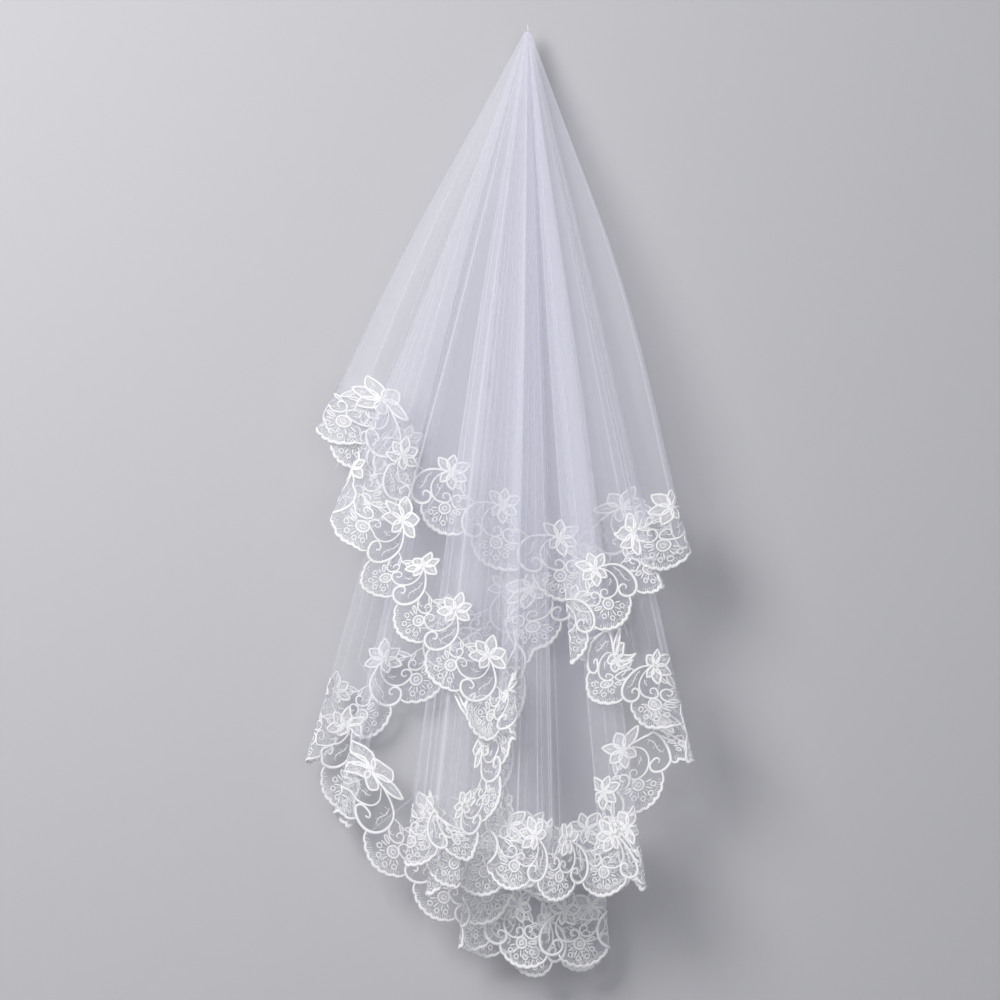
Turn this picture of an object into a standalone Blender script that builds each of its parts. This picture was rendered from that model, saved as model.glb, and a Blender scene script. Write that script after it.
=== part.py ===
"""Bridal veil hung by one thread: an oval of tulle pinched to a point, with a scalloped lace border.

Every stretch of cloth between two folds is one wall of tulle and one wall of lace below it.
Lengths are metres, angles are degrees, +Z is up and the hanging point is the origin.
"""

import math

import bmesh
import bpy
import numpy as np

APEX_DROP = 0.006  # the folds run together this far below the hanging point
CLOTH = 0.001  # wall thickness
SEAM = 0.0004  # gap between tulle and lace along the seam
FOLD_GAP = 0.0009  # gap between the middles of two walls where a fold joins them
LAYER = 0.0125  # slope between neighbouring layers, in metres of depth per metre of reach
CROWN_END = 0.130  # the gathered crown ends and the stretches start at this distance
BORDER = 0.074  # depth of the lace border, from the deepest scallop to the seam
SCALLOP = 0.066  # length of one scallop along the hem
SCALLOP_DEEP = 0.011  # how far the notch between two scallops rises
SETTLE_FROM = 0.150  # folds keep their upper angle down to this distance
TULLE_ROWS = 4
TIP = 0.0025  # half width of the gathered tip
TIP_REACH = 0.0015
CROWN_ROWS = 7
CROWN_COLUMNS = 22
THREAD_RADIUS = 0.0004

# The closed loop of cloth, in order. Each row is one fold or bend:
# stretch that starts there ("" for a bend inside a stretch), angle near the top, angle at the hem,
# layer in front of the wall before it, layer after it, distance from the apex to the hem in mm.
LOOP = [
    ("left_flap", -29.8, -27.9, 5.0, 6.0, 462),
    ("", -24.4, -22.6, 6.3, 6.3, 458),
    ("left_pleat", -15.5, -14.2, 6.8, 7.8, 505),
    ("front_left", -21.0, -21.9, 7.4, 9.0, 540),
    ("", -18.4, -18.9, 9.5, 9.5, 549),
    ("", -16.0, -16.7, 9.8, 9.8, 583),
    ("", -13.6, -14.4, 10.2, 10.2, 597),
    ("", -9.8, -10.5, 10.8, 10.8, 636),
    ("", -6.0, -6.7, 11.4, 11.4, 679),
    ("", -2.6, -3.2, 12.0, 12.0, 720),
    ("front_turn", -0.4, -0.9, 12.4, 11.2, 712),
    ("", -1.9, -2.2, 11.0, 11.0, 776),
    ("", -4.0, -3.9, 10.8, 10.8, 834),
    ("low_left", -9.9, -8.4, 10.1, 9.1, 846),
    ("low_left_pleat", -5.7, -4.5, 9.3, 8.3, 866),
    ("low_mid", -7.6, -6.7, 8.2, 7.2, 872),
    ("low_mid_pleat", 2.4, 1.8, 7.6, 8.6, 866),
    ("low_front", -1.4, -2.8, 8.5, 9.5, 854),
    ("", 2.2, 1.2, 9.7, 9.7, 872),
    ("low_right_pleat", 8.6, 7.8, 10.0, 8.9, 870),
    ("low_right", 4.7, 5.0, 8.9, 7.8, 832),
    ("", 9.4, 9.0, 8.0, 8.0, 788),
    ("mid_right", 12.6, 12.7, 8.2, 10.2, 752),
    ("", 11.2, 11.6, 10.4, 10.4, 720),
    ("", 9.0, 9.6, 10.6, 10.6, 710),
    ("", 5.0, 5.2, 11.1, 11.1, 674),
    ("front_right", 3.6, 3.8, 11.4, 12.4, 638),
    ("", 6.2, 6.4, 12.1, 12.1, 622),
    ("", 8.9, 9.3, 11.8, 11.8, 602),
    ("right_pleat", 14.6, 13.6, 11.2, 12.2, 577),
    ("right_flap", 12.2, 12.1, 12.4, 13.4, 560),
    ("back", 21.2, 17.2, 12.8, 10.0, 560),
    ("", 15.0, 12.9, 6.4, 6.4, 547),
    ("", 9.0, 8.2, 2.2, 2.2, 552),
    ("", 5.4, 5.0, 0.2, 0.2, 582),
    ("", 1.2, 1.1, 0.0, 0.0, 611),
    ("", -4.8, -4.6, 0.0, 0.0, 640),
    ("", -9.6, -9.3, 0.0, 0.0, 692),
    ("", -13.2, -12.8, 0.0, 0.0, 734),
    ("low_back_left", -18.2, -16.9, 0.0, 1.0, 772),
    ("low_back_pleat", -12.8, -12.4, 1.0, 2.0, 828),
    ("low_back", -14.4, -13.9, 2.0, 3.0, 812),
    ("", -10.4, -10.0, 2.7, 2.7, 860),
    ("", -6.6, -6.4, 2.3, 2.3, 896),
    ("", -2.6, -2.6, 1.9, 1.9, 938),
    ("", 1.0, 1.0, 1.5, 1.5, 955),
    ("bottom_back", 5.6, 5.1, 1.1, 2.1, 943),
    ("", 1.0, 0.6, 2.6, 2.6, 946),
    ("inner_low", -5.0, -4.3, 3.1, 4.1, 926),
    ("", -1.0, -1.0, 3.8, 3.8, 880),
    ("inner_low_turn", 7.6, 7.2, 3.2, 4.2, 868),
    ("inner_rise", -2.2, -2.6, 4.8, 5.6, 858),
    ("", -1.0, -1.4, 5.65, 5.65, 760),
    ("", -0.1, -0.5, 5.7, 5.7, 682),
    ("", 1.2, 0.8, 5.75, 5.75, 624),
    ("inner_back", 8.2, 7.4, 6.0, 7.0, 594),
    ("", 1.6, 1.4, 6.7, 6.7, 568),
    ("", -4.8, -4.4, 6.4, 6.4, 540),
    ("", -11.6, -10.6, 5.8, 5.8, 512),
    ("", -25.6, -23.8, 5.2, 5.2, 474),
]

# Soft pleats that all layers share: height in mm at 900 mm from the apex, width, shift.
PLEATS = [
    (5.0, 9.4, 20.0),
    (3.4, 6.2, 75.0),
]



def clear_scene():
    for item in list(bpy.data.objects):
        bpy.data.objects.remove(item, do_unlink=True)


def new_collection(name):
    made = bpy.data.collections.new(name)
    bpy.context.scene.collection.children.link(made)
    return made


def new_material(name, colour, roughness, alpha):
    material = bpy.data.materials.new(name)
    material.use_nodes = True
    shader = material.node_tree.nodes["Principled BSDF"]
    shader.inputs["Base Color"].default_value = (*colour, 1.0)
    shader.inputs["Roughness"].default_value = roughness
    shader.inputs["Alpha"].default_value = alpha
    return material


def smooth(value):
    held = min(max(value, 0.0), 1.0)
    return held * held * (3.0 - 2.0 * held)


def split_loop():
    """The loop as stretches: each a name and its rows, from its first fold to its last."""
    starts = [i for i, row in enumerate(LOOP) if row[0]]
    stretches = []
    for start, end in zip(starts, starts[1:] + [len(LOOP)]):
        rows = LOOP[start : end + 1] if end < len(LOOP) else LOOP[start:] + LOOP[:1]
        stretches.append((LOOP[start][0], rows))
    return stretches


def knots(rows):
    """Columns of a stretch's rows: travel, top angle, hem angle, layer, reach in metres."""
    top = [row[1] for row in rows]
    hem = [row[2] for row in rows]
    layer = [rows[0][4]] + [row[3] for row in rows[1:]]
    reach = [row[5] / 1000.0 for row in rows]
    travel = np.concatenate([[0.0], np.cumsum(np.abs(np.diff(hem)))])
    return travel, top, hem, layer, reach


def bend_size(row):
    """Half the angle between the two layers that a fold joins, in degrees."""
    return math.degrees(0.5 * abs(row[4] - row[3]) * LAYER)


def columns(rows, length_each):
    """Stations across a stretch: angles, layer, reach, and how far round the fold each one is."""
    travel, top, hem, layer, reach = knots(rows)
    way = 1.0 if hem[-1] > hem[0] else -1.0
    first = bend_size(rows[0])
    last = travel[-1] - bend_size(rows[-1])
    width = math.radians(last - first) * float(np.mean(reach)) + abs(reach[-1] - reach[0])
    count = 2 * max(1, round(width / length_each / 2))
    stations = []
    for at in np.linspace(first, last, count + 1)[1:-1]:
        shape = [float(np.interp(at, travel, column)) for column in (top, hem, layer, reach)]
        stations.append((*shape, 0.0, 0.0, 0.0))
    start_turn = 1.0 if rows[0][3] > rows[0][4] else -1.0
    end_turn = 1.0 if rows[-1][4] > rows[-1][3] else -1.0
    for swing in (0.0, math.radians(45.0), math.radians(90.0)):
        out, deep = math.sin(swing), 1.0 - math.cos(swing)
        fold = (top[0], hem[0], layer[0], reach[0], -way * out, start_turn * deep, -way * first)
        stations.insert(0, fold)
        fold = (top[-1], hem[-1], layer[-1], reach[-1], way * out, end_turn * deep, way * bend_size(rows[-1]))
        stations.append(fold)
    return stations


def pleat_depth(angle, distance):
    grown = (distance / 0.9) ** 1.8
    waves = (high * math.sin(math.radians((angle + shift) * 360.0 / wide)) for high, wide, shift in PLEATS)
    return grown * sum(waves) / 1000.0


def place(station, distance):
    """The point of the cloth's middle at a station, this far from the apex."""
    top, hem, layer, reach, out, deep, fold = station
    settle = smooth((distance - SETTLE_FROM) / (reach - SETTLE_FROM))
    angle = top + (hem - top) * settle - fold
    turn = max(math.radians(abs(fold)) * distance - FOLD_GAP / 2, 0.0)
    radians = math.radians(angle)
    x = distance * math.sin(radians) + out * turn * math.cos(radians)
    z = -distance * math.cos(radians) + out * turn * math.sin(radians)
    forward = layer * LAYER * distance + deep * turn + pleat_depth(angle, distance)
    return (x, -forward, z - APEX_DROP)


def hem_travel(stations):
    """Distance along the hem at each station."""
    points = [np.array(place(station, station[3])) for station in stations]
    steps = [float(np.linalg.norm(b - a)) for a, b in zip(points, points[1:])]
    return np.concatenate([[0.0], np.cumsum(steps)])


def scallop_rise(travel):
    """How far the hem rises from its deepest line: round scallops that meet in notches."""
    phase = (travel / SCALLOP) % 1.0
    return SCALLOP_DEEP * (1.0 - math.sin(math.pi * phase) ** 0.7)


def finish_wall(work, name, material, collection):
    mesh = bpy.data.meshes.new(name)
    work.to_mesh(mesh)
    work.free()
    mesh.materials.append(material)
    wall = bpy.data.objects.new(name, mesh)
    collection.objects.link(wall)
    return wall


def add_wall(name, points, material, collection):
    """One cloth wall on a grid of points, a row of columns for each distance."""
    across, down = len(points[0]) - 1, len(points) - 1
    work = bmesh.new()
    bmesh.ops.create_grid(work, x_segments=across, y_segments=down, size=1.0)
    for vertex in work.verts:
        column = round((vertex.co.x + 1.0) / 2.0 * across)
        row = round((1.0 - vertex.co.y) / 2.0 * down)
        vertex.co = points[row][column]
    wall = finish_wall(work, name, material, collection)
    thick = wall.modifiers.new("Cloth", "SOLIDIFY")
    thick.thickness = CLOTH
    thick.offset = 0.0
    thick.use_even_offset = True
    return wall


def between(a, b):
    return tuple((p + q) / 2.0 for p, q in zip(a, b))


def hem_steepness(rows):
    """How much longer the hem is than the width of cloth it crosses, because it runs aslant."""
    travel, _, _, _, reach = knots(rows)
    rise = max(reach) - min(reach)
    return math.hypot(1.0, rise / (math.radians(travel[-1]) * float(np.mean(reach))))


def add_stretch(name, rows, tulle, lace, collection):
    fine = columns(rows, SCALLOP / 5.0)
    coarse = fine[:3] + fine[4:-3:2] + fine[-3:]
    steep = hem_steepness(rows)
    seam = SEAM * steep * steep
    top_edge = [station[3] - BORDER * min(steep, 2.0) for station in coarse]
    sheet = []
    for row in range(TULLE_ROWS + 1):
        share = row / TULLE_ROWS
        sheet.append([
            place(station, CROWN_END + (end - seam / 2 - CROWN_END) * share)
            for station, end in zip(coarse, top_edge)
        ])
    add_wall("tulle_" + name, sheet, tulle, collection)

    joined = {id(station): place(station, end + seam / 2) for station, end in zip(coarse, top_edge)}
    upper = [joined.get(id(station)) for station in fine]
    for i, point in enumerate(upper):
        if point is None:
            upper[i] = between(upper[i - 1], upper[i + 1])
    travel = hem_travel(fine)
    lower = [place(station, station[3] - scallop_rise(at)) for station, at in zip(fine, travel)]
    add_wall("lace_" + name, [upper, lower], lace, collection)


def layer_span(stretches, angle):
    """The rearmost and the foremost layer that cross this upper angle."""
    found = []
    for _, rows in stretches:
        _, top, _, layer, _ = knots(rows)
        order = np.argsort(top)
        tops = np.array(top)[order]
        if tops[0] - 1e-6 <= angle <= tops[-1] + 1e-6:
            found.append(float(np.interp(angle, tops, np.array(layer)[order])))
    return min(found), max(found)


def add_crown(stretches, material, collection):
    """The gathered top: a fluted body whose front and back follow the outer layers."""
    tops = sorted({row[1] for row in LOOP})
    angles = np.linspace(tops[0], tops[-1], CROWN_COLUMNS)
    spans = [layer_span(stretches, angle) for angle in angles]
    ring = [(angle, span[1], 1.0) for angle, span in zip(angles, spans)]
    ring += [(angle, span[0], -1.0) for angle, span in zip(angles[::-1], spans[::-1])]
    around = len(ring)
    middle = (tops[0] + tops[-1]) / 2.0
    half = (tops[-1] - tops[0]) / 2.0
    work = bmesh.new()
    bmesh.ops.create_grid(work, x_segments=around, y_segments=CROWN_ROWS, size=1.0)
    for vertex in work.verts:
        column = round((vertex.co.x + 1.0) / 2.0 * around) % around
        row = round((1.0 - vertex.co.y) / 2.0 * CROWN_ROWS)
        share = (row / CROWN_ROWS) ** 1.5
        distance = TIP_REACH + (CROWN_END - SEAM - TIP_REACH) * share
        angle, layer, side = ring[column]
        radians = math.radians(angle)
        flute = 0.0006 * math.sin(column * 2.4) * (1.0 - share)
        spread = TIP * (angle - middle) / half * (1.0 - share)
        x = distance * math.sin(radians) + spread
        z = -distance * math.cos(radians)
        forward = layer * LAYER * distance + side * (CLOTH / 2 + 0.0012 * (1.0 - share)) + side * flute
        vertex.co = (x, -forward, z - APEX_DROP)
    bmesh.ops.remove_doubles(work, verts=work.verts, dist=1e-6)
    bmesh.ops.holes_fill(work, edges=[edge for edge in work.edges if edge.is_boundary], sides=0)
    bmesh.ops.recalc_face_normals(work, faces=work.faces)
    finish_wall(work, "crown_gather", material, collection)


def add_thread(material, collection):
    bottom = -APEX_DROP - TIP_REACH + SEAM
    work = bmesh.new()
    bmesh.ops.create_cone(
        work,
        cap_ends=True,
        segments=8,
        radius1=THREAD_RADIUS,
        radius2=THREAD_RADIUS,
        depth=-bottom,
    )
    thread = finish_wall(work, "hanging_thread", material, collection)
    thread.location = (0.0, 0.0, bottom / 2.0)


def build():
    clear_scene()
    parts = new_collection("parts")
    tulle = new_material("tulle", (0.86, 0.86, 0.92), 0.7, 0.45)
    lace = new_material("lace", (0.93, 0.93, 0.95), 0.8, 1.0)
    thread = new_material("thread", (0.9, 0.9, 0.92), 0.6, 1.0)
    stretches = split_loop()
    for name, rows in stretches:
        add_stretch(name, rows, tulle, lace, parts)
    add_crown(stretches, tulle, parts)
    add_thread(thread, parts)


build()
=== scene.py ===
"""A sheer bridal veil hung by one thread, with a scalloped border of embroidered flowers."""

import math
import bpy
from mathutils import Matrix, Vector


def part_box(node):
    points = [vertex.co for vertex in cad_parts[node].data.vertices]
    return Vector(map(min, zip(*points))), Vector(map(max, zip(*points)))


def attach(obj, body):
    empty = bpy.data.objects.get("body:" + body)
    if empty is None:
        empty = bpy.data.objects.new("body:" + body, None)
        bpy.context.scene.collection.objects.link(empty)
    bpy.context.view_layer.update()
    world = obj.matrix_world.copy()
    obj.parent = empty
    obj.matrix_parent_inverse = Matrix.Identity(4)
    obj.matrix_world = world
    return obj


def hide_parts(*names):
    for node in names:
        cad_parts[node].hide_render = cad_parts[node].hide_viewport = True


bl_info = {
    "name": "Lace-edged bridal veil",
    "version": (1, 0, 0),
    "blender": (4, 5, 0),
    "location": "3D View > Sidebar > Veil",
    "description": "Drapes a tulle veil, embroiders its border and sets up a plain studio",
    "category": "Object",
}

import bmesh
import bpy
import numpy as np
from bpy.props import FloatProperty, FloatVectorProperty, PointerProperty
from mathutils import Vector

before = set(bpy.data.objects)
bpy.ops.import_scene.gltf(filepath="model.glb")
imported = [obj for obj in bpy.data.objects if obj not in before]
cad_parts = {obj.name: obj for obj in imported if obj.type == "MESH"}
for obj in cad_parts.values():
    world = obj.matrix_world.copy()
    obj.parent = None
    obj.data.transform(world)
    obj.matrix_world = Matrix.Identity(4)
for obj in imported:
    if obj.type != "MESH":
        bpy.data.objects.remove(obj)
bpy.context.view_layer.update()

APEX_DROP = 0.006  # the tip hangs this far below the hanging point
LAYER = 0.0125  # how far apart two layers lie, for each metre from the apex
CROWN_END = 0.130  # the pinched crown ends this far from the apex
SETTLE_FROM = 0.150  # below this distance a fold swings over to its angle at the hem
TIP = 0.0024  # half the width of the pinched tip
TIP_REACH = 0.0015  # the cloth starts this far from the apex
BORDER_HIGH = 0.074  # how far the border reaches up from the hem
BORDER_ROWS = 12
CROWN_ROWS = 34  # rows of the tulle above the border
USUAL_REPEAT = 0.064  # length along the hem that one repeat takes, where nothing else sets it
NEAREST_COLUMNS = 0.0011  # columns closer together than this become one
GATHERED_TO = 0.42  # gathers thicken the net down to this distance from the apex
SHEER_FROM = 0.72  # and have opened out by this one
SHEER_LOSES = 0.6  # which takes away this share of its density
CREASES = 90
CREASE_SEED = 7
CREASE_WIDE = 0.0013  # half the width of a crease at the hem
CREASE_APART = 0.012
STEEP = math.radians(47)  # a hem steeper than this turns edge on
STEEP_BLEND = math.radians(12)
STEEP_NARROWS = 0.5  # and loses this share of the width of its border

BACKDROP = 4.0  # side of the wall and of the floor
VIEW_CENTRE = (-0.028, 0.0, -0.4785)

# The closed loop of cloth, in order. Each row is one fold or bend:
# stretch that starts there ("" for a bend inside a stretch), angle near the top, angle at the hem,
# layer before it, layer after it, distance from the apex to the hem in mm.
LOOP = [
    ("left_flap", -29.8, -27.9, 5.0, 6.0, 462),
    ("", -24.4, -22.6, 6.3, 6.3, 458),
    ("left_pleat", -15.5, -14.2, 6.8, 7.8, 505),
    ("front_left", -21.0, -21.9, 7.4, 9.0, 540),
    ("", -18.4, -18.9, 9.5, 9.5, 549),
    ("", -16.0, -16.7, 9.8, 9.8, 583),
    ("", -13.6, -14.4, 10.2, 10.2, 597),
    ("", -9.8, -10.5, 10.8, 10.8, 636),
    ("", -6.0, -6.7, 11.4, 11.4, 679),
    ("", -2.6, -3.2, 12.0, 12.0, 720),
    ("front_turn", -0.4, -0.9, 12.4, 11.2, 712),
    ("", -1.9, -2.2, 11.0, 11.0, 776),
    ("", -4.0, -3.9, 10.8, 10.8, 834),
    ("low_left", -9.9, -8.4, 10.1, 9.1, 846),
    ("low_left_pleat", -5.7, -4.5, 9.3, 8.3, 866),
    ("low_mid", -7.6, -6.7, 8.2, 7.2, 872),
    ("low_mid_pleat", 2.4, 1.8, 7.6, 8.6, 866),
    ("low_front", -1.4, -2.8, 8.5, 9.5, 854),
    ("", 2.2, 1.2, 9.7, 9.7, 872),
    ("low_right_pleat", 8.6, 7.8, 10.0, 8.9, 870),
    ("low_right", 4.7, 5.0, 8.9, 7.8, 832),
    ("", 9.4, 9.0, 8.0, 8.0, 788),
    ("mid_right", 12.6, 12.7, 8.2, 10.2, 752),
    ("", 11.2, 11.6, 10.4, 10.4, 720),
    ("", 9.0, 9.6, 10.6, 10.6, 710),
    ("", 5.0, 5.2, 11.1, 11.1, 674),
    ("front_right", 3.6, 3.8, 11.4, 12.4, 638),
    ("", 6.2, 6.4, 12.1, 12.1, 622),
    ("", 8.9, 9.3, 11.8, 11.8, 602),
    ("right_pleat", 14.6, 13.6, 11.2, 12.2, 577),
    ("right_flap", 12.2, 12.1, 12.4, 13.4, 560),
    ("back", 21.2, 17.2, 12.8, 10.0, 560),
    ("", 15.0, 12.9, 6.4, 6.4, 547),
    ("", 9.0, 8.2, 2.2, 2.2, 552),
    ("", 5.4, 5.0, 0.2, 0.2, 582),
    ("", 1.2, 1.1, 0.0, 0.0, 611),
    ("", -4.8, -4.6, 0.0, 0.0, 640),
    ("", -9.6, -9.3, 0.0, 0.0, 692),
    ("", -13.2, -12.8, 0.0, 0.0, 734),
    ("low_back_left", -18.2, -16.9, 0.0, 1.0, 772),
    ("low_back_pleat", -12.8, -12.4, 1.0, 2.0, 828),
    ("low_back", -14.4, -13.9, 2.0, 3.0, 812),
    ("", -10.4, -10.0, 2.7, 2.7, 860),
    ("", -6.6, -6.4, 2.3, 2.3, 896),
    ("", -2.6, -2.6, 1.9, 1.9, 938),
    ("", 1.0, 1.0, 1.5, 1.5, 955),
    ("bottom_back", 5.6, 5.1, 1.1, 2.1, 943),
    ("", 1.0, 0.6, 2.6, 2.6, 946),
    ("inner_low", -5.0, -4.3, 3.1, 4.1, 926),
    ("", -1.0, -1.0, 3.8, 3.8, 880),
    ("inner_low_turn", 7.6, 7.2, 3.2, 4.2, 868),
    ("inner_rise", -2.2, -2.6, 4.8, 5.6, 858),
    ("", -1.0, -1.4, 5.65, 5.65, 760),
    ("", -0.1, -0.5, 5.7, 5.7, 682),
    ("", 1.2, 0.8, 5.75, 5.75, 624),
    ("inner_back", 8.2, 7.4, 6.0, 7.0, 594),
    ("", 1.6, 1.4, 6.7, 6.7, 568),
    ("", -4.8, -4.4, 6.4, 6.4, 540),
    ("", -11.6, -10.6, 5.8, 5.8, 512),
    ("", -25.6, -23.8, 5.2, 5.2, 474),
]

# Soft pleats that all layers share: height in mm at 900 mm from the apex, width and shift in degrees.
PLEATS = [
    (5.0, 9.4, 20.0),
    (3.4, 6.2, 75.0),
]

# Where the middle of a scallop hangs: stretch, hem angle.
SCALLOPS = [
    ("left_flap", -25.2),
    ("front_left", -19.6),
    ("front_left", -16.2),
    ("front_left", -12.0),
    ("front_left", -8.5),
    ("front_left", -4.1),
    ("low_front", -1.3),
    ("low_front", 2.0),
    ("low_front", 5.1),
    ("low_right", 9.4),
    ("mid_right", 9.4),
    ("front_right", 4.7),
    ("front_right", 9.2),
    ("right_flap", 14.6),
    ("back", 12.6),
    ("back", -12.3),
    ("low_back_left", -14.6),
    ("low_back", -10.3),
    ("low_back", -6.4),
    ("bottom_back", 3.3),
    ("bottom_back", -0.7),
    ("inner_back", 2.4),
    ("inner_back", -4.8),
    ("inner_back", -10.9),
]

# One repeat of the border, in mm: along the hem from the medallion, and up from the hem's lowest line.
REPEAT = 61.0
MEDALLION = (0.0, 25.0)
MEDALLION_RADIUS = 5.6
FLOWER = (14.5, 60.0)
SCALLOP_START = -27.5
SCALLOP_WIDE = 49.5
SCALLOP_DEEP = 14.0
WAVELETS = 7

# Petals round a flower: direction in degrees, length, width.
PETALS = [
    (71.0, 17.0, 10.5),
    (18.0, 19.0, 9.5),
    (128.0, 20.5, 10.5),
    (181.0, 18.0, 10.5),
    (233.0, 18.5, 10.0),
    (284.0, 14.0, 8.5),
]

# Stamens of a flower: direction in degrees, length.
STAMENS = [
    (52.0, 6.5),
    (84.0, 8.0),
    (112.0, 7.5),
    (148.0, 7.0),
    (206.0, 6.0),
    (345.0, 5.5),
]

# Scrolls and stems: thickness, then the points that the cord runs through.
SCROLLS = [
    (3.2, [(21, 58), (31, 53.5), (38.5, 47), (42, 37.5), (41, 27.5), (36, 20), (28.5, 16.8),
           (21.5, 18.6), (17.6, 24.5), (20, 30.5), (26, 31), (27.6, 27.2), (25, 25.8)]),
    (2.2, [(21, 56), (24.6, 46), (23.4, 37), (18, 30.6), (11.5, 28.2), (4, 29.6), (0, 33),
           (1, 37.5), (5, 39.8), (8.7, 37.4), (7.4, 33.8), (4.8, 34.2)]),
    (2.2, [(41, 42), (44.5, 35.5), (50.5, 31.6), (57, 33), (60, 38.4), (56.8, 43.4),
           (52.2, 41.6), (53, 37.6), (55.6, 38)]),
    (1.6, [(39.5, 47), (46, 47.6), (53, 47.8), (59, 50)]),
]

# Leaves: foot, tip, width.
LEAVES = [
    ((53, 48), (60.5, 57.5), 4.0),
    ((47, 47.5), (55, 43.6), 2.6),
    ((58, 49.5), (65.5, 51), 2.8),
    ((-7.5, 27), (-16, 29.5), 3.4),
]

# Feathered twigs: foot, tip, side strokes.
TWIGS = [
    ((31, 50), (33.5, 29), 6),
    ((19.5, 44), (15, 38), 3),
    ((-20, 33), (-10, 37), 3),
]

# Loose thread ends: stretch, hem angle, curl, length in metres.
LOOSE_ENDS = [
    ("inner_back", -22.0, -1.0, 0.022),
    ("inner_back", -24.0, -0.8, 0.012),
    ("front_right", 8.0, 1.0, 0.030),
    ("front_right", 9.4, 0.6, 0.018),
]

# Spokes below a medallion: direction in degrees, inner end, outer end, open loop or plain dash.
SPOKES = [
    (187.0, 7.0, 14.5, False),
    (208.0, 7.5, 16.5, True),
    (226.0, 7.0, 13.5, False),
    (244.0, 7.5, 17.5, True),
    (262.0, 7.0, 14.5, False),
    (280.0, 7.5, 17.5, True),
    (298.0, 7.0, 14.0, False),
    (316.0, 7.5, 17.0, True),
    (335.0, 7.0, 13.5, False),
]


def smooth(value):
    held = np.clip(value, 0.0, 1.0)
    return held * held * (3.0 - 2.0 * held)


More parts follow.
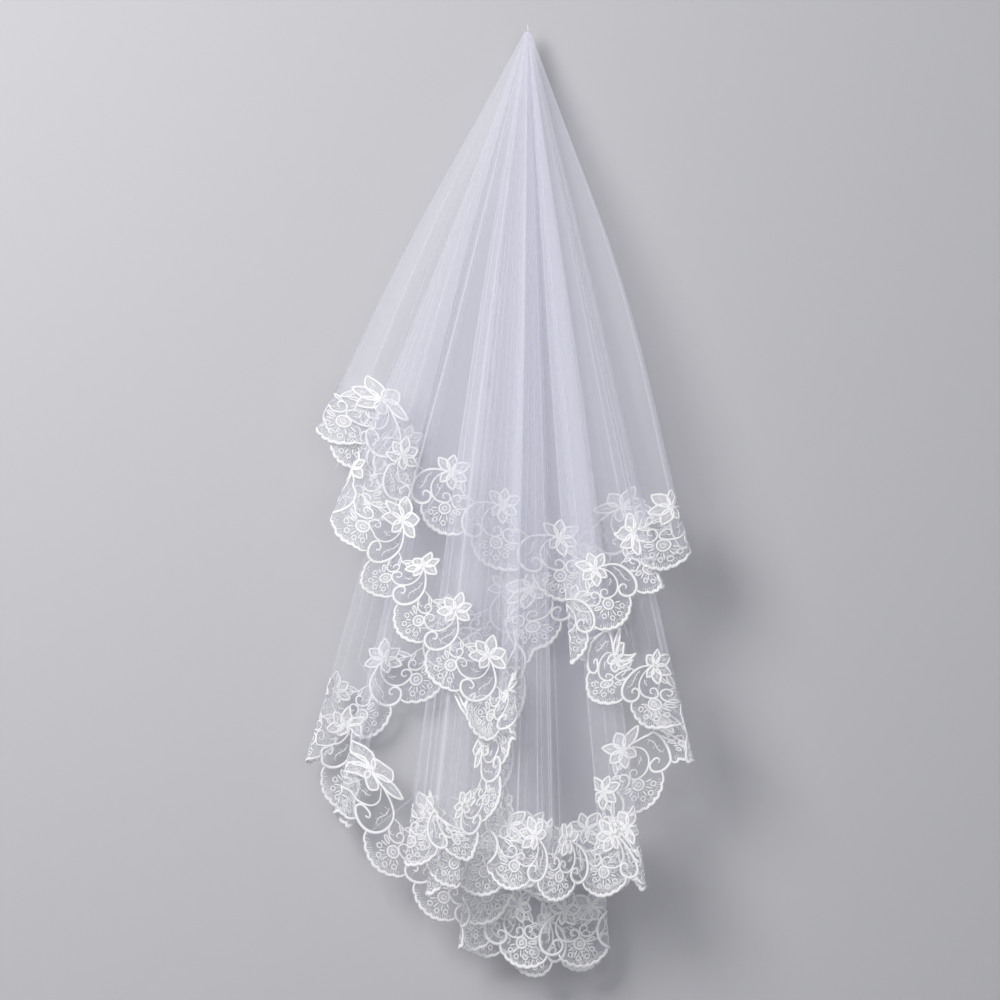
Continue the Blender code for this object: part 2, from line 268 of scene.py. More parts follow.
class Drape:
    """The loop of cloth as columns of numbers that run round it, and the places they give."""

    def __init__(self):
        self.names = []
        self.stations = []
        self.owners = []
        self.nearness = []
        starts = [i for i, row in enumerate(LOOP) if row[0]]
        for start, end in zip(starts, starts[1:] + [len(LOOP)]):
            rows = LOOP[start : end + 1] if end < len(LOOP) else LOOP[start:] + LOOP[:1]
            self.names.append(rows[0][0])
            self.add_stretch(rows)
        self.columns = np.array(self.stations).T
        self.owners = np.array(self.owners)
        self.nearness = np.array(self.nearness)
        self.close()

    def add_stretch(self, rows):
        hem = [row[2] for row in rows]
        travel = np.concatenate([[0.0], np.cumsum(np.abs(np.diff(hem)))])
        layer = [rows[0][4]] + [row[3] for row in rows[1:]]
        shape = ([row[1] for row in rows], hem, layer, [row[5] / 1000.0 for row in rows])
        way = 1.0 if hem[-1] > hem[0] else -1.0
        bends = [math.degrees(0.5 * abs(row[4] - row[3]) * LAYER) for row in (rows[0], rows[-1])]
        turns = (1.0 if rows[0][3] > rows[0][4] else -1.0, 1.0 if rows[-1][4] > rows[-1][3] else -1.0)
        swings = np.radians(np.linspace(0.0, 90.0, 7))
        owner = len(self.names) - 1
        for swing in swings[::-1]:
            base = [column[0] for column in shape]
            deep = turns[0] * (1 - math.cos(swing))
            self.add(base, -way * math.sin(swing), deep, -way * bends[0], owner)
        first, last = bends[0], travel[-1] - bends[1]
        count = max(6, round((last - first) / 0.25))
        for at in np.linspace(first, last, count + 1)[1:-1]:
            base = [float(np.interp(at, travel, column)) for column in shape]
            self.add(base, 0.0, 0.0, 0.0, owner)
        for swing in swings:
            base = [column[-1] for column in shape]
            deep = turns[1] * (1 - math.cos(swing))
            self.add(base, way * math.sin(swing), deep, way * bends[1], owner)

    def add(self, base, out, deep, fold, owner):
        self.stations.append((*base, out, deep, fold))
        self.owners.append(owner)
        self.nearness.append(abs(out))

    def close(self):
        """Works out the travel along the hem and the turn of the flat cloth, then joins the ends."""
        self.columns = np.concatenate([self.columns, self.columns[:, :1]], axis=1)
        self.owners = np.append(self.owners, self.owners[0])
        self.nearness = np.append(self.nearness, self.nearness[0])
        reach = self.columns[3]
        hem = self.solve(self.columns, reach)
        steps = np.linalg.norm(np.diff(hem, axis=0), axis=1)
        self.travel = np.concatenate([[0.0], np.cumsum(np.maximum(steps, 1e-7))])
        near = self.solve(self.columns, reach - 0.035) + np.array([0.0, 0.0, APEX_DROP])
        unit = near / np.linalg.norm(near, axis=1)[:, None]
        turns = np.linalg.norm(np.diff(unit, axis=0), axis=1)
        self.turn = np.concatenate([[0.0], np.cumsum(np.maximum(turns, 1e-8))])
        self.length = self.travel[-1]
        self.full_turn = self.turn[-1]
        self.slope = self.find_slope()

    def find_slope(self):
        """How far the hem runs aslant at each station, smoothed along the hem."""
        grid = np.arange(0.0, self.length, 0.002)
        reach = np.interp(grid, self.travel, self.columns[3])
        turn = np.interp(grid, self.travel, self.turn)
        window = 16
        ahead = np.roll(reach, -window) - np.roll(reach, window)
        across = (np.roll(turn, -window) - np.roll(turn, window)) % self.full_turn
        slope = np.arctan2(ahead, across * reach)
        kernel = np.hanning(25)
        padded = np.concatenate([slope[-12:], slope, slope[:12]])
        self.slope_grid = grid
        return np.convolve(padded, kernel / kernel.sum(), mode="valid")

    def solve(self, columns, distance):
        """Points of the cloth for columns of station values, each this far from the apex."""
        top, hem, layer, reach, out, deep, fold = columns
        settle = smooth((distance - SETTLE_FROM) / (reach - SETTLE_FROM))
        angle = top + (hem - top) * settle - fold
        turn = np.radians(np.abs(fold)) * distance
        radians = np.radians(angle)
        gather = np.clip(1.0 - distance / CROWN_END, 0.0, 1.0)
        x = distance * np.sin(radians) + out * turn * np.cos(radians) + TIP * angle / 26.0 * gather
        z = -distance * np.cos(radians) + out * turn * np.sin(radians) - APEX_DROP
        grown = (distance / 0.9) ** 1.8
        pleat = sum(
            high * np.sin(np.radians((angle + shift) * 360.0 / wide)) for high, wide, shift in PLEATS
        )
        forward = layer * LAYER * distance + deep * turn + grown * pleat / 1000.0
        forward = forward + (layer - 6.0) * 0.0002 * gather
        return np.stack([x, -forward, z], axis=-1)

    def lay(self, along, up):
        """Flat place of a point: along the hem and up from it, both in metres, as turn and distance."""
        along = np.asarray(along) % self.length
        reach = np.interp(along, self.travel, self.columns[3])
        turn = np.interp(along, self.travel, self.turn)
        slope = np.interp(along, self.slope_grid, self.slope, period=self.length)
        up = up * (1.0 - STEEP_NARROWS * smooth((np.abs(slope) - STEEP) / STEEP_BLEND))
        inward = reach - up * np.cos(slope)
        sideways = up * np.sin(slope)
        return turn + np.arctan2(sideways, inward), np.hypot(sideways, inward)

    def at(self, turn, distance):
        turn = np.asarray(turn) % self.full_turn
        columns = [np.interp(turn, self.turn, column) for column in self.columns]
        return self.solve(columns, distance)

    def on_border(self, along, up):
        return self.at(*self.lay(along, up))

    def owner_of(self, along):
        turn, _ = self.lay(along, 0.03)
        index = np.searchsorted(self.turn, float(turn) % self.full_turn)
        return self.names[int(self.owners[min(index, len(self.owners) - 1)])]

    def fold_at(self, turn):
        """1 at the edge of a fold, falling to 0 away from it."""
        return np.interp(np.asarray(turn) % self.full_turn, self.turn, self.nearness)

    def turn_order(self, turn, travel):
        """Keeps the columns in order where the hem bends sharply."""
        whole = np.where(travel >= self.length - 1e-9, self.full_turn, 0.0)
        turn = np.where((whole > 0) & (turn < self.full_turn / 2), turn + whole, turn)
        return np.maximum.accumulate(turn)

    def hem_place(self, name, angle):
        """Travel along the hem to where this stretch crosses this hem angle."""
        owner = self.names.index(name)
        mine = np.where((self.owners == owner) & (self.nearness < 0.01))[0]
        mine = mine[mine < len(self.owners) - 1]
        hem = self.columns[1][mine]
        order = np.argsort(hem)
        return float(np.interp(angle, hem[order], self.travel[mine][order]))


def creases(drape):
    """Sharp little pleats at uneven places: travel along the hem and how bright each one is."""
    uneven = np.random.default_rng(CREASE_SEED)
    middles = np.sort(uneven.uniform(CREASE_APART, drape.length - CREASE_APART, CREASES))
    spread = np.concatenate([[True], np.diff(middles) > CREASE_APART])
    return middles[spread], uneven.uniform(0.35, 1.0, CREASES)[spread]


def scallop_places(drape):
    """Travel along the hem to the middle of every scallop: the set ones, and even steps between."""
    known = sorted(drape.hem_place(name, angle) for name, angle in SCALLOPS)
    places = []
    for here, there in zip(known, known[1:] + [known[0] + drape.length]):
        count = max(1, round((there - here) / USUAL_REPEAT))
        places.extend(here + (there - here) * i / count for i in range(count))
    return np.array(places)


class Border:
    """Lays one repeat after another along the hem, each stretched to the room it has."""

    def __init__(self, drape):
        self.drape = drape
        self.places = scallop_places(drape)
        whole = np.arange(-2, len(self.places) + 3)
        self.whole = whole
        self.marks = self.places[whole % len(self.places)] + drape.length * (whole // len(self.places))

    def along(self, repeat, across):
        return np.interp(repeat + np.asarray(across) / REPEAT, self.whole, self.marks)

    def points(self, repeat, flat):
        flat = np.asarray(flat, dtype=float)
        return self.drape.on_border(self.along(repeat, flat[:, 0]), flat[:, 1] / 1000.0)

    def frames(self, repeat, flat):
        """Places, and the cloth's normal at each, for a run of flat points."""
        flat = np.asarray(flat, dtype=float)
        here = self.points(repeat, flat)
        side = self.points(repeat, flat + [0.6, 0.0])
        above = self.points(repeat, flat + [0.0, 0.6])
        normal = np.cross(side - here, above - here)
        size = np.linalg.norm(normal, axis=1)[:, None]
        return here, normal / np.maximum(size, 1e-12)


def hem_edge(across):
    """Height of the cut edge above the hem's lowest line, for a place along a repeat in mm."""
    start = (np.asarray(across) - SCALLOP_START) % REPEAT
    inside = np.clip(start / SCALLOP_WIDE, 0.0, 1.0)
    return 0.8 + SCALLOP_DEEP * (1.0 - np.sin(math.pi * inside) ** 0.7)


def spline(points, step=1.6):
    """A smooth run through points, about this many mm a step."""
    points = np.array(points, dtype=float)
    padded = np.vstack([2 * points[0] - points[1], points, 2 * points[-1] - points[-2]])
    run = []
    for i in range(len(points) - 1):
        a, b, c, d = padded[i : i + 4]
        count = max(2, round(float(np.linalg.norm(c - b)) / step))
        for t in np.arange(count) / count:
            bend = 2 * a - 5 * b + 4 * c - d
            twist = 3 * b - a - 3 * c + d
            run.append(0.5 * (2 * b + (c - a) * t + bend * t**2 + twist * t**3))
    run.append(points[-1])
    return np.array(run)


def petal(direction, length, width, scale=1.0, count=18):
    """Outline of a petal: narrow at its foot, full in the middle and pointed at the tip."""
    t = np.linspace(0.0, 2.0 * math.pi, count, endpoint=False)
    reach = (1.0 - np.cos(t)) / 2.0
    half = np.sign(np.sin(t)) * np.sin(math.pi * reach**0.9) ** 0.85 * width / 2.0
    middle = length * 0.56
    along = middle + (length * (0.06 + 0.94 * reach) - middle) * scale
    angle = math.radians(direction)
    x = FLOWER[0] + along * math.cos(angle) - half * scale * math.sin(angle)
    y = FLOWER[1] + along * math.sin(angle) + half * scale * math.cos(angle)
    return np.stack([x, y], axis=1)


def leaf(foot, tip, width, count=10):
    foot, tip = np.array(foot, dtype=float), np.array(tip, dtype=float)
    axis = tip - foot
    side = np.array([-axis[1], axis[0]]) / np.linalg.norm(axis)
    t = np.linspace(0.0, 2.0 * math.pi, count, endpoint=False)
    reach = (1.0 - np.cos(t)) / 2.0
    return foot + np.outer(reach, axis) + np.outer(np.sin(t) * width / 2.0, side)


def circle(centre, radius, count=14):
    t = np.linspace(0.0, 2.0 * math.pi, count, endpoint=False)
    return np.stack([centre[0] + radius * np.cos(t), centre[1] + radius * np.sin(t)], axis=1)


def spoke(direction, inner, outer, loop):
    """One ray of the fan below a medallion, as cords."""
    angle = math.radians(direction)
    way = np.array([math.cos(angle), math.sin(angle)])
    start, end = np.array(MEDALLION) + way * inner, np.array(MEDALLION) + way * outer
    if not loop:
        return [(spline([start, end], 1.6), 1.7, False)]
    head = np.array(MEDALLION) + way * (outer - 2.8)
    return [(circle(head, 2.3, 9), 1.4, True), (np.array([start, head - way * 2.3]), 1.1, False)]


def twig(foot, tip, strokes):
    foot, tip = np.array(foot, dtype=float), np.array(tip, dtype=float)
    axis = tip - foot
    side = np.array([-axis[1], axis[0]]) / np.linalg.norm(axis)
    sway = [foot, foot + axis * 0.35 + side * 1.2, foot + axis * 0.7 - side * 1.0, tip]
    runs = [spline(sway, 2.0)]
    for i in range(strokes):
        start = foot + axis * (i + 0.6) / strokes
        lean = 1.0 if i % 2 else -1.0
        runs.append(np.array([start, start + side * lean * 2.6 + axis / np.linalg.norm(axis) * 1.4]))
    return runs


def border_cords():
    """Every cord of one repeat: flat points, thickness and whether it closes on itself."""
    t = np.linspace(0.0, 1.0, 57)
    across = SCALLOP_START + SCALLOP_WIDE * t
    lobes = 1.7 * np.abs(np.sin(WAVELETS * math.pi * t)) ** 0.7
    cords = [(np.stack([across, hem_edge(across) + 2.4 - lobes], axis=1), 4.0, False)]
    cords.extend(eyelashes())
    cords.append((circle(MEDALLION, MEDALLION_RADIUS), 2.0, True))
    cords.append((circle(MEDALLION, 2.2, 8), 1.2, True))
    for row in SPOKES:
        cords.extend(spoke(*row))
    for thick, points in SCROLLS:
        cords.append((spline(points), thick, False))
    for row in LEAVES:
        cords.append((leaf(*row), 1.3, True))
    for row in TWIGS:
        cords.extend((run, 1.0, False) for run in twig(*row))
    for row in PETALS:
        cords.append((petal(*row), 2.5, True))
        cords.append((vein(row[0], row[1]), 0.8, False))
    for direction, length in STAMENS:
        angle = math.radians(direction)
        tip = np.array(FLOWER) + length * np.array([math.cos(angle), math.sin(angle)])
        cords.append((np.array([FLOWER, tip]), 1.5, False))
    return cords


def eyelashes():
    """Short strokes that stand on the scallop and point at the medallion."""
    strokes = []
    for number, share in enumerate(np.linspace(0.07, 0.93, 21)):
        across = SCALLOP_START + SCALLOP_WIDE * share
        foot = np.array([across, float(hem_edge(across)) + 2.6])
        towards = np.array(MEDALLION) - foot
        towards /= np.linalg.norm(towards)
        strokes.append((np.array([foot, foot + towards * (5.4 if number % 2 else 4.0)]), 1.1, False))
    return strokes


def vein(direction, length):
    """A fine line up the middle of a petal."""
    angle = math.radians(direction)
    way = np.array([math.cos(angle), math.sin(angle)])
    return np.array([np.array(FLOWER) + way * length * share for share in (0.45, 0.62, 0.8)])


def border_fills():
    """Patches of close net inside one repeat: flat outlines."""
    fills = [petal(*row, 1.0, 14) for row in PETALS]
    fills.append(circle(MEDALLION, MEDALLION_RADIUS, 10))
    fills.extend(leaf(*row) for row in LEAVES)
    return fills


class Stitching:
    """Collects cords and patches as arrays, and makes one mesh of them."""

    SIDES = 6

    def __init__(self):
        self.points = []
        self.faces = []
        self.coords = []
        self.slots = []
        self.count = 0

    def add_cord(self, middle, normal, thick, closed):
        """One raised cord: a flattened round section swept along its middle line."""
        if closed:
            ahead = np.roll(middle, -1, axis=0) - np.roll(middle, 1, axis=0)
        else:
            ahead = np.gradient(middle, axis=0)
        ahead /= np.maximum(np.linalg.norm(ahead, axis=1)[:, None], 1e-12)
        side = np.cross(ahead, normal)
        side /= np.maximum(np.linalg.norm(side, axis=1)[:, None], 1e-12)
        rings, sides = len(middle), self.SIDES
        round_ = np.arange(sides) * 2.0 * math.pi / sides
        width = np.full(rings, thick / 2000.0)
        if not closed:
            width *= 0.42 + 0.58 * np.sin(np.linspace(0.0, math.pi, rings)) ** 0.5
        across = np.cos(round_)[None, :, None] * side[:, None, :]
        raised = 0.5 * np.sin(round_)[None, :, None] * normal[:, None, :]
        ring = middle[:, None, :] + width[:, None, None] * (across + raised)
        base = self.count
        self.points.append(ring.reshape(-1, 3))
        self.count += rings * sides
        last = rings if closed else rings - 1
        i = np.arange(last)[:, None]
        j = np.arange(sides)[None, :]
        k = (i + 1) % rings
        n = (j + 1) % sides
        corners = [i * sides + j, i * sides + n, k * sides + n, k * sides + j]
        quads = np.stack(corners, axis=-1).reshape(-1, 4)
        self.faces.extend((quads + base).tolist())
        run = np.concatenate([[0.0], np.cumsum(np.linalg.norm(np.diff(middle, axis=0), axis=1))]) * 1000.0
        start, end = run[np.arange(last)], run[np.arange(last)] + 1.6
        for a, b in zip(start, end):
            for around in range(sides):
                low, high = around / sides, (around + 1) / sides
                self.coords.extend((a, low, a, high, b, high, b, low))
        self.slots.extend([0] * len(quads))
        if not closed:
            self.faces.append([base + v for v in range(sides)][::-1])
            self.faces.append([base + (rings - 1) * sides + v for v in range(sides)])
            self.coords.extend([0.0] * (4 * sides))
            self.slots.extend([0, 0])

    def add_fill(self, outline, normal, flat):
        """One patch of close net that lies on the tulle, as a fan round its middle."""
        lifted = outline + normal * 0.0002
        base = self.count
        self.points.append(np.vstack([lifted, lifted.mean(axis=0)]))
        size = len(outline)
        self.count += size + 1
        centre = flat.mean(axis=0)
        for i in range(size):
            j = (i + 1) % size
            self.faces.append([base + i, base + j, base + size])
            self.coords.extend((*flat[i], *flat[j], *centre))
            self.slots.append(1)

    def mesh(self, name, materials):
        made = bpy.data.meshes.new(name)
        made.from_pydata(np.concatenate(self.points).tolist(), [], self.faces)
        for material in materials:
            made.materials.append(material)
        made.polygons.foreach_set("material_index", self.slots)
        made.polygons.foreach_set("use_smooth", [True] * len(made.polygons))
        layer = made.uv_layers.new(name="stitch_mm")
        layer.data.foreach_set("uv", self.coords)
        made.update()
        return made


def new_piece(name, mesh):
    piece = bpy.data.objects.new(name, mesh)
    bpy.context.scene.collection.objects.link(piece)
    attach(piece, "root")
    return piece


def shader_of(material):
    return next(node for node in material.node_tree.nodes if node.type == "BSDF_PRINCIPLED")


def new_node(material, kind, **inputs):
    node = material.node_tree.nodes.new(kind)
    for socket, value in inputs.items():
        node.inputs[socket.replace("_", " ")].default_value = value
    return node


def wire(material, source, target):
    material.node_tree.links.new(source, target)


def maths(material, operation, first, second):
    node = new_node(material, "ShaderNodeMath")
    node.operation = operation
    for socket, value in zip(node.inputs, (first, second)):
        if isinstance(value, (int, float)):
            socket.default_value = value
        else:
            wire(material, value, socket)
    return node.outputs[0]


def tulle_material(colour, density):
    """Sheer net: thicker to the eye along folds and creases, with faint streaks down the grain."""
    material = bpy.data.materials.new("tulle_net")
    material.use_nodes = True
    shader = shader_of(material)
    shader.inputs["Base Color"].default_value = (*colour, 1.0)
    shader.inputs["Roughness"].default_value = 0.62
    shader.inputs["Sheen Weight"].default_value = 0.25
    shader.inputs["Sheen Roughness"].default_value = 0.4
    fold = new_node(material, "ShaderNodeAttribute")
    fold.attribute_name = "fold"
    grain = new_node(material, "ShaderNodeUVMap")
    grain.uv_map = "UVMap"
    stretch = new_node(material, "ShaderNodeMapping")
    stretch.inputs["Scale"].default_value = (75.0, 0.7, 1.0)
    streaks = new_node(material, "ShaderNodeTexNoise", Scale=1.0, Detail=2.0)
    wire(material, grain.outputs[0], stretch.inputs[0])
    wire(material, stretch.outputs[0], streaks.inputs["Vector"])
    place = new_node(material, "ShaderNodeTexCoord")
    mesh = new_node(material, "ShaderNodeTexVoronoi", Scale=900.0)
    wire(material, place.outputs["Object"], mesh.inputs["Vector"])
    hazy = maths(material, "MULTIPLY", streaks.outputs["Fac"], density * 0.6)
    holes = maths(material, "MULTIPLY", mesh.outputs["Distance"], density * 0.15)
    edge = maths(material, "MULTIPLY", fold.outputs["Fac"], 0.5)
    haze = new_node(material, "ShaderNodeAttribute")
    haze.attribute_name = "border"
    close = maths(material, "MULTIPLY", haze.outputs["Fac"], 0.05)
    body = maths(material, "ADD", maths(material, "ADD", hazy, density * 0.6), holes)
    gather = new_node(material, "ShaderNodeAttribute")
    gather.attribute_name = "gather"
    thick = maths(material, "MULTIPLY", body, gather.outputs["Fac"])
    whole = maths(material, "ADD", maths(material, "ADD", thick, edge), close)
    wire(material, whole, shader.inputs["Alpha"])
    return material


def cord_material(colour):
    """Satin-stitched cord: fine ridges across it, a soft gloss, and painted shade that darkens its colour
    in the grooves between the stitches.
    """
    material = bpy.data.materials.new("embroidery_cord")
    material.use_nodes = True
    shader = shader_of(material)
    shader.inputs["Roughness"].default_value = 0.5
    shader.inputs["Sheen Weight"].default_value = 0.35
    run = new_node(material, "ShaderNodeUVMap")
    run.uv_map = "stitch_mm"
    stitches = new_node(material, "ShaderNodeTexWave", Scale=0.9, Distortion=1.2)
    stitches.bands_direction = "X"
    wire(material, run.outputs[0], stitches.inputs["Vector"])
    # Painted shade: the colour is a tenth darker in the grooves between the stitches.
    painted_groove_shade = new_node(material, "ShaderNodeMix")
    painted_groove_shade.data_type = "RGBA"
    painted_groove_shade.inputs[6].default_value = (*[channel * 0.9 for channel in colour], 1.0)
    painted_groove_shade.inputs[7].default_value = (*colour, 1.0)
    wire(material, stitches.outputs["Fac"], painted_groove_shade.inputs[0])
    wire(material, painted_groove_shade.outputs[2], shader.inputs["Base Color"])
    bump = new_node(material, "ShaderNodeBump", Strength=0.35, Distance=0.0004)
    wire(material, stitches.outputs["Fac"], bump.inputs["Height"])
    wire(material, bump.outputs[0], shader.inputs["Normal"])
    return material


def fill_material(colour):
    """Close net inside petals and leaves: two crossing sets of fine threads."""
    material = bpy.data.materials.new("close_net")
    material.use_nodes = True
    shader = shader_of(material)
    shader.inputs["Base Color"].default_value = (*colour, 1.0)
    shader.inputs["Roughness"].default_value = 0.65
    run = new_node(material, "ShaderNodeUVMap")
    run.uv_map = "stitch_mm"
    bands = []
    for way in ("X", "Y"):
        band = new_node(material, "ShaderNodeTexWave", Scale=0.19, Distortion=0.6)
        band.bands_direction = way
        wire(material, run.outputs[0], band.inputs["Vector"])
        bands.append(band.outputs["Fac"])
    threads = maths(material, "MAXIMUM", *bands)
    held = maths(material, "ADD", maths(material, "MULTIPLY", threads, 0.30), 0.06)
    wire(material, held, shader.inputs["Alpha"])
    return material


def seen_from_front(name, colour):
    """Plain studio paper that shows from its front only and casts no shadow."""
    material = bpy.data.materials.new(name)
    material.use_nodes = True
    shader = shader_of(material)
    shader.inputs["Base Color"].default_value = (*colour, 1.0)
    shader.inputs["Roughness"].default_value = 0.9
    shader.inputs["Specular IOR Level"].default_value = 0.15
    output = next(node for node in material.node_tree.nodes if node.type == "OUTPUT_MATERIAL")
    clear = new_node(material, "ShaderNodeBsdfTransparent")
    side = new_node(material, "ShaderNodeNewGeometry")
    path = new_node(material, "ShaderNodeLightPath")
    mix = new_node(material, "ShaderNodeMixShader")
    unseen = maths(material, "MAXIMUM", side.outputs["Backfacing"], path.outputs["Is Shadow Ray"])
    wire(material, unseen, mix.inputs[0])
    wire(material, shader.outputs[0], mix.inputs[1])
    wire(material, clear.outputs[0], mix.inputs[2])
    wire(material, mix.outputs[0], output.inputs["Surface"])
    return material


class VeilSizes(bpy.types.PropertyGroup):
    column_step: FloatProperty(
        name="Column step",
        description="Distance along the hem between the columns of the tulle",
        default=0.0042,
        min=0.001,
        unit="LENGTH",
    )
    density: FloatProperty(
        name="Net density",
        description="How much light one layer of tulle stops",
        default=0.16,
        min=0.0,
        max=1.0,
        subtype="FACTOR",
    )
    wall_gap: FloatProperty(
        name="Wall gap",
        description="Distance from the hanging point back to the wall",
        default=0.024,
        unit="LENGTH",
    )
    view_distance: FloatProperty(
        name="View distance",
        description="Distance from the veil to the camera",
        default=8.0,
        unit="LENGTH",
    )


class VeilColours(bpy.types.PropertyGroup):
    tulle: FloatVectorProperty(
        name="Tulle",
        description="Colour of the sheer net",
        subtype="COLOR",
        default=(0.79, 0.79, 0.885),
    )
    embroidery: FloatVectorProperty(
        name="Embroidery",
        description="Colour of the stitched cords",
        subtype="COLOR",
        default=(0.97, 0.97, 0.98),
    )
    wall: FloatVectorProperty(
        name="Wall",
        description="Colour of the wall behind the veil",
        subtype="COLOR",
        default=(0.50, 0.50, 0.522),
    )


made_once = {}


def drape_of():
    """The drape, worked out once and shared by the operators."""
    if "drape" not in made_once:
        made_once["drape"] = Drape()
    return made_once["drape"]


class VEIL_OT_tulle(bpy.types.Operator):
    """Drape the one sheet of tulle, from the gathered tip to the scalloped hem"""

    bl_idname = "veil.tulle"
    bl_label = "Tulle"

    def execute(self, context):
        drape = drape_of()
        border = Border(drape)
        sizes, colours = context.scene.veil_sizes, context.scene.veil_colours
        middles, heights = creases(drape)
        travel = self.column_places(drape, sizes.column_step, middles)
        rows = self.rows(border, travel)
        across, down = len(travel) - 1, len(rows) - 1
        work = bmesh.new()
        work.loops.layers.uv.new("UVMap")
        bmesh.ops.create_grid(work, x_segments=across, y_segments=down, size=1.0, calc_uvs=True)
        mesh = bpy.data.meshes.new("veil_tulle")
        work.to_mesh(mesh)
        work.free()
        flat = np.empty(len(mesh.vertices) * 3)
        mesh.vertices.foreach_get("co", flat)
        flat = flat.reshape(-1, 3)
        column = np.rint((flat[:, 0] + 1.0) / 2.0 * across).astype(int)
        row = np.rint((1.0 - flat[:, 1]) / 2.0 * down).astype(int)
        turns = np.array([turn for turn, _ in rows])
        distances = np.array([distance for _, distance in rows])
        placed = drape.at(turns[row, column], distances[row, column])
        mesh.vertices.foreach_set("co", placed.ravel())
        fold = mesh.attributes.new("fold", "FLOAT", "POINT")
        sharp = np.zeros(across + 1)
        sharp[np.searchsorted(travel, middles - 1e-6)] = heights
        bright = np.maximum(drape.fold_at(turns[row, column]) ** 4, 0.85 * sharp[column])
        fold.data.foreach_set("value", bright)
        haze = mesh.attributes.new("border", "FLOAT", "POINT")
        haze.data.foreach_set("value", (row > down - BORDER_ROWS).astype(float))
        gather = mesh.attributes.new("gather", "FLOAT", "POINT")
        sheerer = smooth((distances[row, column] - GATHERED_TO) / (SHEER_FROM - GATHERED_TO))
        gather.data.foreach_set("value", 1.0 - SHEER_LOSES * sheerer)
        mesh.polygons.foreach_set("use_smooth", [True] * len(mesh.polygons))
        mesh.materials.append(tulle_material(colours.tulle, sizes.density))
        mesh.update()
        piece = new_piece("veil_tulle", mesh)
        nodes = [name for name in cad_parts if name.startswith("tulle_")]
        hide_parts("crown_gather", *nodes)
        return {"FINISHED"}

    @staticmethod
    def column_places(drape, step, middles):
        """Travel along the hem to every column: even steps, the bends of folds, and the creases."""
        plain = np.arange(0.0, drape.length, step)
        folds = drape.travel[drape.nearness > 0.01]
        merged = np.unique(np.concatenate([plain, folds, [drape.length]]))
        keep = np.concatenate([[True], np.diff(merged) > NEAREST_COLUMNS])
        keep[-1] = True
        clear = np.abs(merged[:, None] - middles[None, :]).min(axis=1) > 1.8 * CREASE_WIDE
        sharp = (middles[:, None] + np.array([-CREASE_WIDE, 0.0, CREASE_WIDE])).ravel()
        return np.unique(np.concatenate([[0.0, drape.length], merged[keep & clear], sharp]))

    @staticmethod
    def rows(border, travel):
        """Turn and distance of every column, row by row from the tip to the cut edge."""
        drape = border.drape
        middle = np.interp(travel, border.marks, border.whole)
        edge = hem_edge((middle - np.floor(middle)) * REPEAT) / 1000.0
        top_turn, top_distance = drape.lay(travel, BORDER_HIGH)
        top_turn = drape.turn_order(top_turn, travel)
        upper = [
            (top_turn, TIP_REACH + (top_distance - TIP_REACH) * share)
            for share in np.linspace(0.0, 1.0, CROWN_ROWS) ** 1.15
        ]
        lower = []
        for share in np.linspace(0.0, 1.0, BORDER_ROWS + 1)[1:]:
            turn, distance = drape.lay(travel, BORDER_HIGH + (edge - BORDER_HIGH) * share)
            lower.append((drape.turn_order(turn, travel), distance))
        return upper + lower


class VEIL_OT_lace(bpy.types.Operator):
    """Embroider the border, a piece for each stretch between two folds"""

    bl_idname = "veil.lace"
    bl_label = "Lace border"

    def execute(self, context):
        drape = drape_of()
        border = Border(drape)
        colours = context.scene.veil_colours
        materials = [cord_material(colours.embroidery), fill_material(colours.embroidery)]
        work = {name: Stitching() for name in drape.names}
        cords, fills = border_cords(), border_fills()
        for repeat in range(len(border.places)):
            for flat, thick, closed in cords:
                middle, normal = border.frames(repeat, flat)
                owner = drape.owner_of(float(border.along(repeat, flat[:, 0].mean())))
                work[owner].add_cord(middle, normal, thick, closed)
            for flat in fills:
                outline, normal = border.frames(repeat, flat)
                owner = drape.owner_of(float(border.along(repeat, flat[:, 0].mean())))
                work[owner].add_fill(outline, normal, flat + [repeat * REPEAT, 0.0])
        for name, stitching in work.items():
            if not stitching.faces:
                raise RuntimeError(f"no stitches fall on {name}")
            piece = new_piece("embroidery_" + name, stitching.mesh("embroidery_" + name, materials))
            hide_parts("lace_" + name)
        return {"FINISHED"}


class VEIL_OT_threads(bpy.types.Operator):
    """Hang the veil by its thread, with a few loose ends at the hem"""

    bl_idname = "veil.threads"
    bl_label = "Threads"

    def execute(self, context):
        material = cord_material(context.scene.veil_colours.embroidery)
        low, high = (Vector(corner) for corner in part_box("hanging_thread"))
        rise = np.linspace(low.z, high.z, 12)
        sway = 0.00025 * np.sin(np.linspace(0.0, 5.0, 12))
        hanging = Stitching()
        middle = np.stack([sway, -sway, rise], axis=1)
        hanging.add_cord(middle, np.tile([0.0, -1.0, 0.0], (12, 1)), 0.9, False)
        piece = new_piece("thread_loop", hanging.mesh("thread_loop", [material]))
        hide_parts("hanging_thread")
        loose = Stitching()
        for start, way, length in self.ends(drape_of()):
            t = np.linspace(0.0, 1.0, 14)[:, None]
            curl = np.array([[0.35 * length, 0.0, 0.0]]) * t**2 * way
            middle = start + np.array([[0.0, 0.0, -length]]) * t + curl
            loose.add_cord(middle, np.tile([0.0, -1.0, 0.0], (14, 1)), 0.35, False)
        piece = new_piece("loose_ends", loose.mesh("loose_ends", [material]))
        return {"FINISHED"}

    @staticmethod
    def ends(drape):
        """Where each loose thread end starts, which way it curls and how long it is."""
        for name, angle, way, length in LOOSE_ENDS:
            yield drape.on_border(drape.hem_place(name, angle), 0.004), way, length


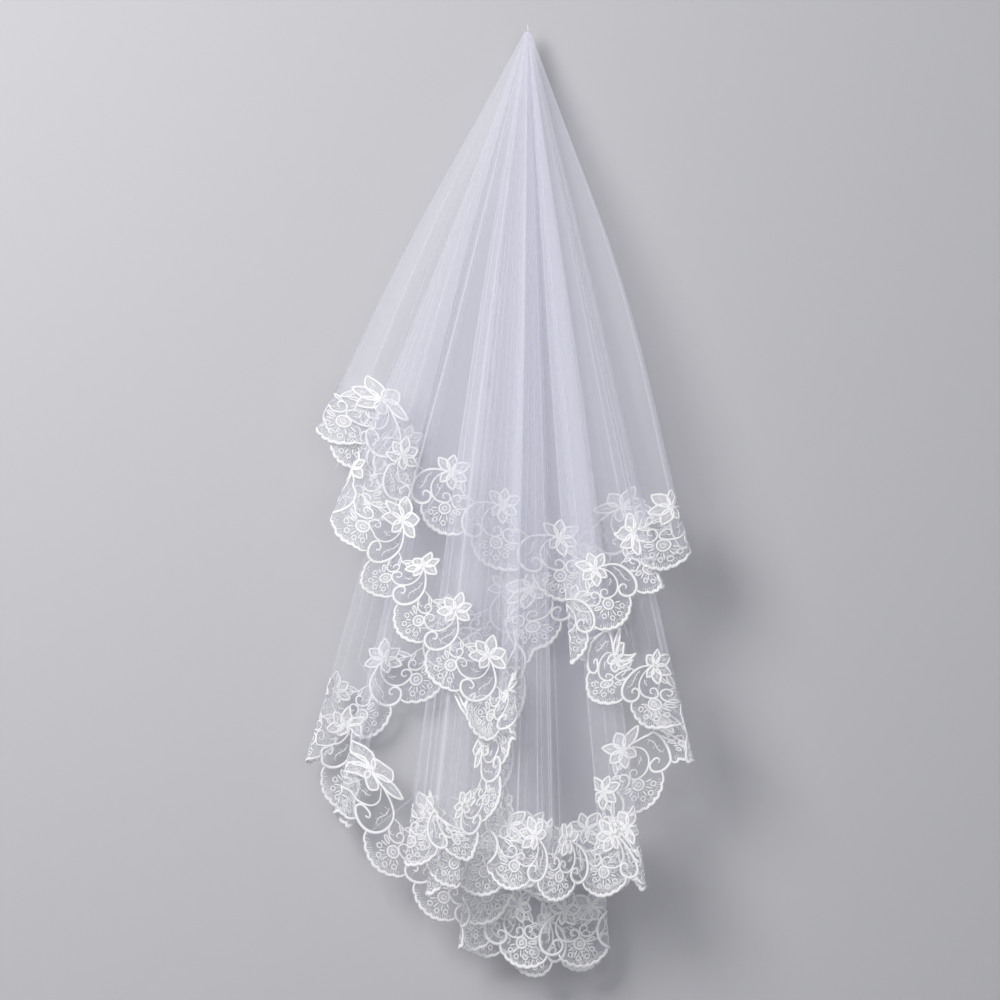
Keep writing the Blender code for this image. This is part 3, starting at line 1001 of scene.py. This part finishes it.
class VEIL_OT_stage(bpy.types.Operator):
    """Put up the wall, the floor, the soft lights and the camera"""

    bl_idname = "veil.stage"
    bl_label = "Studio"

    def execute(self, context):
        scene = context.scene
        sizes, colours = scene.veil_sizes, scene.veil_colours
        middle = Vector(VIEW_CENTRE)
        paper = seen_from_front("studio_paper", colours.wall)
        self.backdrop("studio_wall", Vector((0.0, sizes.wall_gap, 0.2)), math.radians(90), paper)
        self.backdrop("studio_floor", Vector((0.0, -1.9, -1.8)), 0.0, paper)
        self.lamp("key_light", (-1.25, -1.9, 0.55), middle, 1.3, 54.0, (1.0, 0.995, 0.985))
        self.lamp("fill_light", (0.6, -3.4, -0.2), middle, 2.4, 20.0, (0.96, 0.97, 1.0))
        self.lamp("back_light", (1.1, 2.4, 0.6), middle, 1.4, 20.0, (1.0, 1.0, 1.0))
        world = bpy.data.worlds.new("studio_air")
        world.use_nodes = True
        world.node_tree.nodes["Background"].inputs[0].default_value = (0.86, 0.88, 0.92, 1.0)
        world.node_tree.nodes["Background"].inputs[1].default_value = 0.25
        scene.world = world
        data = bpy.data.cameras.new("view")
        data.sensor_width = 36.0
        data.lens = 36.0 * (sizes.view_distance - 0.05)
        data.clip_end = 60.0
        camera = bpy.data.objects.new("view", data)
        camera.location = middle + Vector((0.0, -sizes.view_distance, 0.0))
        camera.rotation_euler = (math.radians(90), 0.0, 0.0)
        scene.collection.objects.link(camera)
        scene.camera = camera
        scene.view_settings.view_transform = "Standard"
        scene.cycles.transparent_max_bounces = 32
        scene.cycles.max_bounces = 4
        scene.cycles.use_adaptive_sampling = True
        scene.cycles.adaptive_threshold = 0.04
        return {"FINISHED"}

    @staticmethod
    def backdrop(name, centre, tilt, material):
        work = bmesh.new()
        bmesh.ops.create_grid(work, x_segments=2, y_segments=2, size=BACKDROP / 2.0)
        mesh = bpy.data.meshes.new(name)
        work.to_mesh(mesh)
        work.free()
        mesh.materials.append(material)
        paper = bpy.data.objects.new(name, mesh)
        paper.location = centre
        paper.rotation_euler = (tilt, 0.0, 0.0)
        bpy.context.scene.collection.objects.link(paper)

    @staticmethod
    def lamp(name, place, target, size, power, colour):
        data = bpy.data.lights.new(name, "AREA")
        data.shape = "DISK"
        data.size = size
        data.energy = power
        data.color = colour
        lamp = bpy.data.objects.new(name, data)
        lamp.location = place
        lamp.rotation_euler = (target - Vector(place)).to_track_quat("-Z", "Y").to_euler()
        bpy.context.scene.collection.objects.link(lamp)


class VEIL_PT_panel(bpy.types.Panel):
    bl_idname = "VEIL_PT_panel"
    bl_label = "Bridal veil"
    bl_space_type = "VIEW_3D"
    bl_region_type = "UI"
    bl_category = "Veil"

    def draw(self, context):
        for group in (context.scene.veil_sizes, context.scene.veil_colours):
            for name in group.__annotations__:
                self.layout.prop(group, name)
        for operator in STEPS:
            self.layout.operator(operator.bl_idname)


STEPS = (VEIL_OT_tulle, VEIL_OT_lace, VEIL_OT_threads, VEIL_OT_stage)
CLASSES = (VeilSizes, VeilColours, *STEPS, VEIL_PT_panel)


def register():
    for cls in CLASSES:
        bpy.utils.register_class(cls)
    bpy.types.Scene.veil_sizes = PointerProperty(type=VeilSizes)
    bpy.types.Scene.veil_colours = PointerProperty(type=VeilColours)


def unregister():
    del bpy.types.Scene.veil_colours
    del bpy.types.Scene.veil_sizes
    for cls in reversed(CLASSES):
        bpy.utils.unregister_class(cls)


def main():
    register()
    bpy.ops.veil.tulle()
    bpy.ops.veil.lace()
    bpy.ops.veil.threads()
    bpy.ops.veil.stage()


if __name__ == "__main__":
    main()
